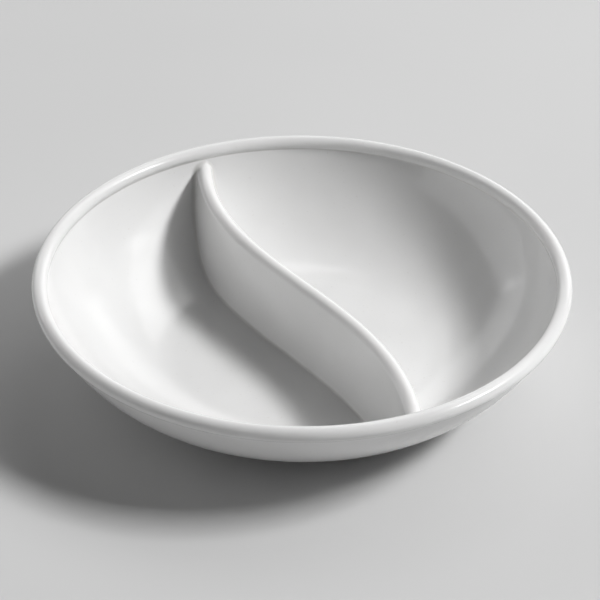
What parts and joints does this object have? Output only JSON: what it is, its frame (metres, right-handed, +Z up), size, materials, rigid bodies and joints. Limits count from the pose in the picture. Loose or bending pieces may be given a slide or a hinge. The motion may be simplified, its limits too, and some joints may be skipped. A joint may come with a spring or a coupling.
{
  "type": "divided serving bowl",
  "caption": "Round shallow glazed serving bowl with a rolled rim and foot ring, split by an S-shaped wall into a chip side and a dip side.",
  "frame": {"origin": "centre of the circle that the foot ring stands on, at table height", "axes": "+Z up along the bowl's axis; the dividing wall's straight line runs 18 degrees from +Y towards -X"},
  "size_m": [0.34, 0.34, 0.07],
  "materials": {
    "glaze": "gloss",
    "bisque": "matte"
  },
  "bodies": {
    "root": {"bowl_shell": "glaze", "rolled_rim": "glaze", "s_divider": "glaze", "foot_ring": "bisque"}
  },
  "joints": []
}
